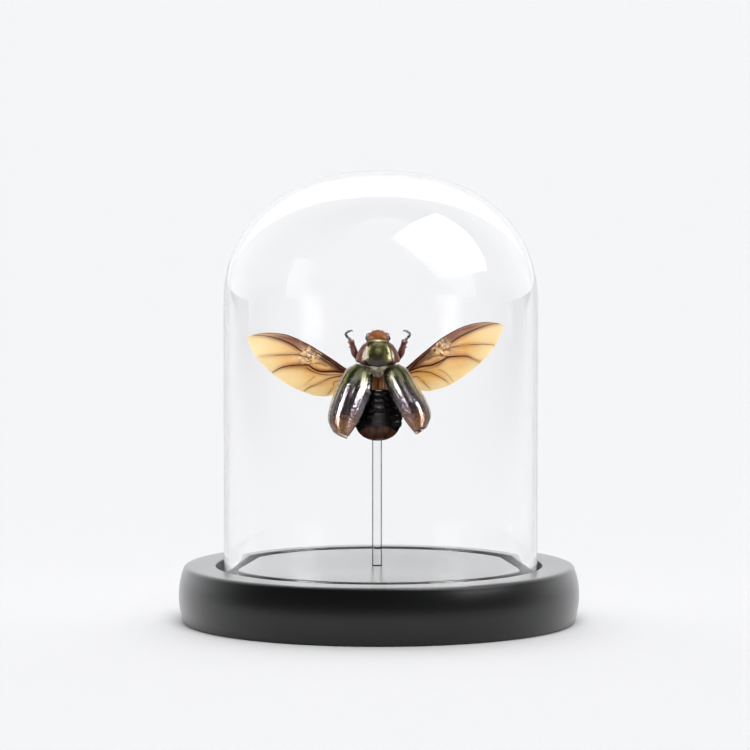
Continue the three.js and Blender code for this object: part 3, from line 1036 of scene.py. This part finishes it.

# %% [markdown]
# ## Flying wings
# The flying wing is a clear amber film, a few hundredths of a millimetre thick, stretched
# between dark stiff veins. A hinge half way out lets it fold, and the film is crumpled
# there. The film is a sheet with pleats, and each vein is a tapered tube laid along it. The
# film's colour deepens towards the root and beside each vein, and fades at the free edge.
# At the hinge, painted shade and painted highlight stand for the crumples' relief.

# %% Outlines and veins of the flying wings, and each vein's radius at its start and end
WING_EDGES = {
    "left": (
        [
            (-6.9, 57.6), (-9.7, 59.1), (-15.9, 63.3), (-20.8, 66.3), (-26.3, 68.7), (-32, 69.6),
            (-36.3, 69.2), (-38.4, 68.4),
        ],
        [
            (-6.9, 54.2), (-13.4, 50.9), (-18, 50.6), (-22.1, 51.9), (-26.5, 54), (-32, 58.1),
            (-36.4, 62.9), (-38.7, 67.4),
        ],
    ),
    "right": (
        [
            (6.9, 57.8), (9.2, 59.8), (15.1, 64.7), (20.8, 69), (26.1, 71.6), (31.6, 72.7),
            (35.4, 72.5), (37.2, 71.7),
        ],
        [
            (6.9, 54.2), (13.4, 52.2), (17.4, 52.6), (21.7, 54.2), (26.3, 57.2), (31, 61.2),
            (34.6, 65.6), (37, 70.6),
        ],
    ),
}
VEINS = {
    "left": [
        (0.30, 0.10, [
            (-7.0, 57.5), (-9.7, 58.8), (-12.9, 61.1),
            (-16.7, 63.6), (-20.3, 65.7), (-23.3, 67.2),
        ]),
        (0.14, 0.05, [(-23.3, 67.2), (-26.5, 68.7), (-29.6, 69.3), (-33, 69.4), (-37, 68.9)]),
        (0.30, 0.16, [
            (-7.2, 57.3), (-10.2, 58.2), (-11.9, 59.4),
            (-14.2, 61.1), (-16.7, 62.8), (-19, 64.3),
        ]),
        (0.22, 0.06, [
            (-22.7, 64.1), (-25.4, 66), (-28.1, 67.3),
            (-30.9, 68.2), (-33.8, 68.7), (-36.6, 68.8),
        ]),
        (0.15, 0.05, [
            (-21.3, 62.2), (-22.4, 62.6), (-23.7, 63),
            (-28.1, 63), (-31.9, 62.9), (-35.1, 62.6),
        ]),
        (0.34, 0.22, [
            (-7.2, 57), (-9.7, 57.7), (-12.9, 58.1), (-15.7, 58),
            (-17.6, 58.2), (-19.3, 59), (-20.5, 60),
        ]),
        (0.26, 0.07, [
            (-20.5, 60), (-22.4, 60), (-25, 59.9),
            (-27.7, 59.5), (-29.6, 58.8), (-31.3, 57.7),
        ]),
        (0.12, 0.08, [(-20.5, 60.1), (-18.6, 60.5), (-16.7, 60.3), (-15.3, 59.6)]),
        (0.12, 0.09, [(-21.2, 59.2), (-19.5, 58.1), (-17.6, 57.4), (-15, 57), (-11.9, 57), (-8, 56.7)]),
        (0.16, 0.06, [
            (-7.4, 56.4), (-9.7, 56.7), (-11.9, 56.5), (-14.2, 56),
            (-16.1, 55.2), (-18, 54.2), (-20.5, 53.2), (-22, 52),
        ]),
        (0.05, 0.04, [(-18.8, 56.5), (-20.5, 55.1), (-21.8, 53.8)]),
        (0.10, 0.06, [(-8.0, 55.6), (-10.5, 55.3), (-12.9, 54.9), (-13.3, 53.2), (-15, 50.9)]),
    ],
    "right": [
        (0.30, 0.10, [(7.0, 57.7), (9.2, 59.6), (12, 62.1), (15.3, 64.9), (18.8, 67.7), (21.5, 69.4)]),
        (0.14, 0.05, [(21.5, 69.4), (24.5, 70.9), (27.8, 72), (31, 72.5), (36, 72.2)]),
        (0.30, 0.14, [(7.2, 57.5), (9.9, 58.8), (11.8, 60.9), (13.9, 62.8), (15.4, 64.4), (17.3, 66.3)]),
        (0.22, 0.06, [(22, 66.7), (23.4, 67.8), (26.2, 69.3), (29.5, 70.8), (32.9, 71.9), (35.9, 72.2)]),
        (0.15, 0.05, [
            (19.4, 64.2), (20.4, 64.6), (21.9, 65.2), (25.3, 65.8),
            (29.1, 66.1), (31.9, 66.2), (34.6, 65.9),
        ]),
        (0.34, 0.22, [(7.2, 57.2), (10.1, 58.5), (12.9, 59.5), (15.8, 59.9), (18.1, 60.8), (20.2, 62)]),
        (0.12, 0.12, [(14.8, 61.6), (16.5, 62.5), (18.5, 62.7), (21.1, 62.5)]),
        (0.26, 0.07, [(20.2, 62), (21.1, 62.4), (24, 62.6), (26.4, 62.6), (28.3, 61.8), (30.3, 60.9)]),
        (0.12, 0.08, [(20.2, 61.6), (18.8, 60.5), (16.9, 59.5), (14.5, 58.9), (8, 57.2)]),
        (0.16, 0.06, [
            (7.4, 56.6), (10.7, 57.8), (13.5, 58), (15.8, 57.6),
            (18.1, 56.5), (20, 55.4), (21.2, 54.3),
        ]),
        (0.05, 0.04, [(17.7, 58.8), (19.4, 58), (21.1, 56.7), (22.2, 55.2)]),
        (0.10, 0.06, [(7.6, 55.8), (9.8, 56.2), (11.8, 56.4), (13.5, 54.8), (15.5, 52.8)]),
    ],
}
FOLD = {"left": (-20.3, 63.0), "right": (18.3, 65.0)}  # the middle of the crumpled hinge

# %% Wing film, its pleats and its crumpled hinge


def near_fold(x, z, name):
    fx, fz = FOLD[name]
    return math.exp(-(((x - fx) / 2.9) ** 2) - ((z - fz) / 2.6) ** 2)


def wing_depth(x, z):
    return -6.3 - 0.05 * (abs(x) - 7) + 0.012 * (z - 60) ** 2


def crumple(x, z, name):
    folds = noise.noise((x * 0.55, z * 0.55, 1.7)) + 0.5 * noise.noise((x * 1.3, z * 1.3, 5.2))
    return 0.75 * folds * near_fold(x, z, name)


def film_depth(name):
    def depth(u, v, x, z):
        fan = abs(math.atan2(z - 57, abs(x) - 5))
        pleat = 0.10 * math.sin(fan * 26) * ease(abs(x), 9, 16)
        return wing_depth(x, z) + pleat * ease(v, 0.1, 0.4) + crumple(x, z, name)

    return depth


def vein_tree(veins):
    """Points along the veins, to ask how far the nearest one is."""
    spots = []
    for start_radius, end_radius, route in veins:
        steps = len(route) * 10
        for k in range(steps + 1):
            x, z = between(route, k / steps)
            spots.append((x, z, start_radius + (end_radius - start_radius) * k / steps))
    tree = kdtree.KDTree(len(spots))
    for i, (x, z, _) in enumerate(spots):
        tree.insert((x, z, 0), i)
    tree.balance()
    return tree, spots


# %% Film and vein finishes


def wing_film():
    """A thin, dry membrane: it lets light through and spreads it a little, with hardly a gloss."""
    material, tree = new_material("clear amber wing film")
    shown = layered(
        tree,
        "#f3dfae",
        [
            ("amber", "#dfac52"),  # towards the root
            ("halo", "#a2601c"),  # beside each vein
            ("stigma", "#6a2408"),  # the leading edge beyond the hinge
            ("costa", "#300a02"),  # the leading edge before it
            # Painted shade in the hinge's folds, and below it a painted highlight on their crumples.
            ("crease", "#3c1206"),  # the hinge's folds, dark and light
            ("shine", "#f8cc88"),
        ],
    )
    place = add(tree, "TexCoord").outputs["Object"]
    # Fine ripples about a millimetre apart, far shallower than the pleats.
    ripples = add(tree, "TexNoise", {"Vector": place, "Scale": 900, "Detail": 4})
    bump = add(tree, "Bump", {"Height": ripples.outputs[0], "Strength": 0.6, "Distance": 0.00005})
    film = add(
        tree,
        "BsdfPrincipled",
        {
            "Base Color": shown,
            "Roughness": 0.28,
            "IOR": 1.4,
            "Specular IOR Level": 0.0,
            "Transmission Weight": 0.85,
            "Normal": bump.outputs[0],
        },
    )
    surface(tree, film)
    return material


WING_FILM = wing_film()
# A vein is a dry hollow tube of tanned chitin with no wax, so it is dark and dull.
VEIN_SHELL = chitin(
    "dark red-brown vein",
    "#4c1804",
    pit_mm=0.3,
    pit_depth=0.01,
    Roughness=0.4,
    **{"Specular IOR Level": 0.15, "Coat Weight": 0.0},
)

# %% Build both flying wings
for name, (leading, trailing) in WING_EDGES.items():
    film = sheet(leading, trailing, 230, 110, film_depth(name))
    tree, spots = vein_tree(VEINS[name])

    def halo(u, v, x, y, z):
        _, i, distance = tree.find((x, z, 0))
        return hump(distance, 0, 0.35 + 3.2 * spots[i][2]) * min(1, spots[i][2] * 5.5)

    def amber(u, v, x, y, z):
        patchy = 0.75 + 0.5 * noise.noise((x * 0.22, z * 0.22, 6.0))
        return (1 - 0.85 * ease(abs(x), 22, 37)) * (1 - 0.7 * ease(v, 0.55, 1)) * patchy

    def stigma(u, v, x, y, z):
        beyond = ease(abs(x), 18.5, 21) * (1 - 0.8 * ease(abs(x), 27, 36))
        streak = 0.35 * ease(noise.noise((u * 7, v * 45, 4.4)), -0.1, 0.3)
        return beyond * (1 - ease(v, 0.10 + 0.02 * u, 0.22)) * (0.95 - streak)

    def costa(u, v, x, y, z):
        near = 1 - ease(abs(x), 19.5, 22)
        streak = 0.5 * ease(noise.noise((u * 7, v * 40, 9.1)), 0.0, 0.35)
        return near * (1 - ease(v, 0.13, 0.3 - 0.1 * u)) * (0.97 - streak - 0.3 * near_fold(x, z, name))

    # Painted shade in the hinge's folds.
    def crease(u, v, x, y, z):
        dark = noise.noise((x * 1.1, z * 1.1, 2.2)) + 0.5 * noise.noise((x * 2.6, z * 2.6, 7))
        return ease(dark, 0.05, 0.3) * min(1, 1.8 * near_fold(x, z, name))

    # Painted highlight on the hinge's crumples.
    def shine(u, v, x, y, z):
        light = noise.noise((x * 1.2, z * 1.2, 8.4)) + 0.5 * noise.noise((x * 2.8, z * 2.8, 1))
        return 0.85 * ease(light, 0.05, 0.28) * min(1, 1.5 * near_fold(x, z, name))

    mask(film, halo=halo, amber=amber, stigma=stigma, costa=costa, crease=crease, shine=shine)
    modify(film, "SOLIDIFY", thickness=0.05 * MM, offset=0)
    outward(film)
    finished(film, f"wing_film_{name}", WING_FILM, f"hindwing_{name}", slot="wing_membrane", angle=60)

    routes = []
    for start_radius, end_radius, route in VEINS[name]:
        routes.append([])
        for k, (x, z) in enumerate(route):
            radius = start_radius + (end_radius - start_radius) * k / (len(route) - 1)
            routes[-1].append((x, wing_depth(x, z) + crumple(x, z, name), z, radius))
    veins = tubes(routes, sides=3, fine=8)
    finished(veins, f"wing_veins_{name}", VEIN_SHELL, f"hindwing_{name}", slot="wing_membrane")

# %% [markdown]
# ## Legs
# A beetle's leg has a short hip, a thick thigh, a shin with teeth, and a foot of five little
# joints that ends in two hooked claws. Every joint swells and narrows again, so each is its
# own tube whose radius follows a short table. The thigh and shin are red-brown, and the
# feet are blue-black.

# %% Leg finishes: tanned and lightly waxed, and layered on the feet, which look a little blue
LEG_SHELL = chitin("dark red-brown chitin of the legs", "#6e3320", pit_mm=0.3, Roughness=0.3)
FOOT_SHELL = chitin(
    "blue-black chitin of the feet", "#23243a", pit_mm=0.25, pit_depth=0.01, Metallic=0.4, Roughness=0.25
)

# %% Leg shapes: joints from the hip to the foot on the right side, with the radius at each
LEGS = {
    "foreleg": (
        [(2.2, -2.1, 62.4), (6.3, -3.4, 61.3), (8.0, -5.6, 67.2)],
        [(8.0, -5.6, 67.2), (9.3, -6.1, 68.5), (9.55, -6.3, 69.4), (8.5, -6.4, 70.0)],
        [1.1, 0.72, 0.95],
        [
            ((8.0, -4.9, 65.0), (8.75, -5.0, 65.3)),
            ((8.2, -5.2, 66.2), (9.0, -5.3, 66.7)),
            ((8.0, -5.6, 67.0), (8.7, -5.7, 67.9)),
        ],
    ),
    "midleg": (
        [(3.0, -1.0, 57.6), (8.8, -0.6, 57.4), (8.9, 0.2, 50.6)],
        [(8.9, 0.2, 50.6), (8.5, 0.5, 49.0), (8.0, 0.8, 47.2), (7.4, 1.3, 44.6)],
        [1.1, 0.7, 0.6],
        [
            ((9.0, 0.0, 53.9), (9.8, 0.5, 53.4)),
            ((8.9, 0.1, 51.2), (9.7, 0.5, 50.4)),
            ((8.9, 0.1, 51.0), (8.4, 0.7, 50.0)),
        ],
    ),
    "hindleg": (
        [(2.9, -0.6, 53.8), (6.9, 0.2, 49.4), (6.0, 1.2, 42.6)],
        [(6.0, 1.2, 42.6), (5.5, 1.5, 41.6), (4.9, 1.8, 40.6), (3.6, 2.2, 39.4)],
        [1.2, 0.8, 0.7],
        [
            ((6.5, 0.7, 46.0), (7.3, 1.2, 45.4)),
            ((6.1, 1.1, 43.2), (6.9, 1.5, 42.3)),
            ((6.0, 1.1, 43.0), (5.4, 1.7, 42.1)),
        ],
    ),
}


def part_way(a, b, share):
    return [p + (q - p) * share for p, q in zip(a, b)]


def swollen(a, b, ra, rb, belly=1.15):
    """A limb joint from a to b that narrows at both ends and swells between them."""
    radii = (0.45 * ra, 0.8 * ra, belly * max(ra, rb), (ra + rb) / 2, rb, 0.5 * rb)
    shares = (0, 0.08, 0.35, 0.75, 0.97, 1)
    return [(*part_way(a, b, share), radius) for share, radius in zip(shares, radii)]


def foot(route):
    """Five joints along a route, each a small cone that widens to its end, and two claws."""
    joints = []
    for k in range(5):
        a, b = (between(route, share) for share in (k / 5, (k + 0.92) / 5))
        joints.append([(*a, 0.28), (*part_way(a, b, 0.8), 0.52 - 0.03 * k), (*b, 0.3)])
    before, end = between(route, 0.9), between(route, 1)
    way = [q - p for p, q in zip(before, end)]
    long = math.hypot(*way)
    way = [w / long for w in way]
    for turn in (-1, 1):
        across = (0.32 * turn, 0.3 * turn, 0)
        mid = [p + 0.5 * w + s for p, w, s in zip(end, way, across)]
        tip = [p + 0.75 * w + 1.3 * s - d for p, w, s, d in zip(end, way, across, (0, 0, 0.45))]
        joints.append([(*end, 0.24), (*mid, 0.18), (*tip, 0.04)])
    return joints


def one_side(route, side):
    return [(side * x, y, z, r) for x, y, z, r in route]


for leg, (joints, foot_route, radii, teeth) in LEGS.items():
    for side, name in ((-1, "left"), (1, "right")):
        routes = [swollen(*limb) for limb in zip(joints, joints[1:], radii, radii[1:])]
        routes += [[(*a, 0.32), (*part_way(a, b, 0.5), 0.24), (*b, 0.05)] for a, b in teeth]
        limb = tubes([one_side(route, side) for route in routes], sides=6, fine=5)
        finished(limb, f"{leg}_joints_{name}", LEG_SHELL, f"{leg}_{name}", slot="leg_shell")
        toes = tubes([one_side(route, side) for route in foot(foot_route)], sides=4, fine=5)
        finished(toes, f"{leg}_foot_{name}", FOOT_SHELL, f"{leg}_{name}", slot="leg_shell")

# %% [markdown]
# ## Floor and light
# The floor is a pale sheet that runs far back, painted grey towards the front and sides: a
# painted pool of light round the object. The room behind the object is white and the room
# behind the camera is dimmer, which is what makes dark gloss look deep. One window shows as
# a patch on the glass. Small soft boxes at the sides draw the white bands along the wing
# cases, and three in front put the glints on the neck shield and the abdomen's rings.

# %% Floor


def pale_floor():
    """Pale under and behind the object, and painted greyer towards the dim side of the room: painted
    shade round a pool of light.
    """
    material, tree = new_material("plain pale floor")
    place = add(tree, "SeparateXYZ", {0: add(tree, "TexCoord").outputs["Object"]})
    aside = add(tree, "Math", {0: place.outputs["X"]}, operation="ABSOLUTE")
    slant = add(tree, "Math", {0: aside.outputs[0], 1: 1.6}, operation="MULTIPLY")
    least = add(tree, "Math", {0: slant.outputs[0], 1: 0.18}, operation="MAXIMUM")
    depth = add(tree, "Math", {0: place.outputs["Y"], 1: least.outputs[0]}, operation="SUBTRACT")
    # Painted shade greys the floor towards the front and sides, leaving a painted pool of light.
    painted_light_pool = add(
        tree,
        "MapRange",
        {"Value": depth.outputs[0], "From Min": -1.1, "From Max": -0.45},
        interpolation_type="SMOOTHSTEP",
    )
    tone = add(
        tree,
        "Mix",
        {MIX_FACTOR: painted_light_pool.outputs[0], MIX_A: colour("#7a7a7e"), MIX_B: colour("#f8f8f9")},
        data_type="RGBA",
    )
    paper = add(tree, "BsdfPrincipled", {"Base Color": tone.outputs[MIX_COLOUR], "Roughness": 0.8})
    surface(tree, paper)
    return material


floor = start(bpy.ops.mesh.primitive_plane_add, size=80)
floor.name = "floor"
floor.data.materials.append(pale_floor())

# %% Room light: pale behind the object, dimmer behind the camera
ROOM_BRIGHT, ROOM_DIM = 1.17, 0.1
world = bpy.data.worlds.new("room")
bpy.context.scene.world = world
world.use_nodes = True
room = world.node_tree
room.nodes.clear()
way = add(room, "TexCoord").outputs["Generated"]
depth_way = add(room, "SeparateXYZ", {0: way}).outputs["Y"]
level = add(
    room,
    "MapRange",
    {"Value": depth_way, "From Min": -0.2, "From Max": 0.7, "To Min": ROOM_DIM, "To Max": ROOM_BRIGHT},
    interpolation_type="SMOOTHSTEP",
)
sky = add(room, "Background", {"Color": colour("#f9fafc"), "Strength": level.outputs[0]})
add(room, "OutputWorld", {"Surface": sky.outputs[0]})

# %% Lamps


LAMP_DISTANCE = 0.9
LAMPS_AIM = Vector((0, 0, 0.09))  # a little above the beetle


def soft_box(name, azimuth, rise, size, radiance):
    """A lamp seen from the object at an azimuth from the front and a rise, in degrees."""
    lamp = bpy.data.objects.new(name, bpy.data.lights.new(name, "AREA"))
    bpy.context.collection.objects.link(lamp)
    lamp.data.shape = "RECTANGLE"
    lamp.data.size, lamp.data.size_y = size
    lamp.data.energy = radiance * math.pi * size[0] * size[1]
    a, e = math.radians(azimuth), math.radians(rise)
    toward = Vector((math.sin(a) * math.cos(e), -math.cos(a) * math.cos(e), math.sin(e)))
    lamp.location = LAMPS_AIM + toward * LAMP_DISTANCE
    lamp.rotation_euler = toward.to_track_quat("Z", "Y").to_euler()
    lamp.visible_camera = False
    lamp.visible_diffuse = False
    return lamp


def pieces(name, wanted):
    """A collection of the pieces that a lamp shines on."""
    found = bpy.data.collections.new(name)
    for ob in bpy.context.scene.objects:
        if ob.type == "MESH" and ob is not floor and wanted(ob.name):
            found.objects.link(ob)
    return found


# Each row has a name, azimuth, rise, size, radiance, and the pieces that it shines on. The
# window shows on the outside of the glass, and the sheen on the paint. The other lamps are
# seen through the glass only, so they shine on the beetle and leave no patch on the dome.
for name, azimuth, rise, size, radiance, outside in (
    ("window", 66, 47, (0.8, 0.86), 26.0, pieces("dome", lambda name: name == "dome")),
    ("sheen", 66, 44, (0.6, 0.9), 2.5, pieces("base", lambda name: name == "turned_base")),
    ("side_right", 64, 20, (0.32, 0.46), 22.0, None),
    ("side_left", -64, 20, (0.32, 0.46), 22.0, None),
    ("low_right", 52, 2, (0.3, 0.22), 26.0, None),
    ("low_left", -52, 2, (0.3, 0.22), 26.0, None),
    ("front", 3, 25, (0.24, 0.12), 10.0, None),
    ("front_right", 30, 46, (0.2, 0.16), 5.0, None),
    ("front_left", -30, 46, (0.2, 0.16), 5.0, None),
):
    lamp = soft_box(name, azimuth, rise, size, radiance)
    lamp.visible_glossy = outside is not None
    lamp.visible_transmission = outside is None
    if outside is not None:
        lamp.light_linking.receiver_collection = outside

# A pale ceiling gives soft light from above, and no reflection of its own.
sun = bpy.data.objects.new("ceiling", bpy.data.lights.new("ceiling", "SUN"))
bpy.context.collection.objects.link(sun)
sun.data.energy = 1.85
sun.data.angle = math.radians(50)
sun.rotation_euler = (math.radians(25), 0, math.radians(10))
sun.visible_glossy = False

bpy.context.scene.view_settings.view_transform = "Standard"
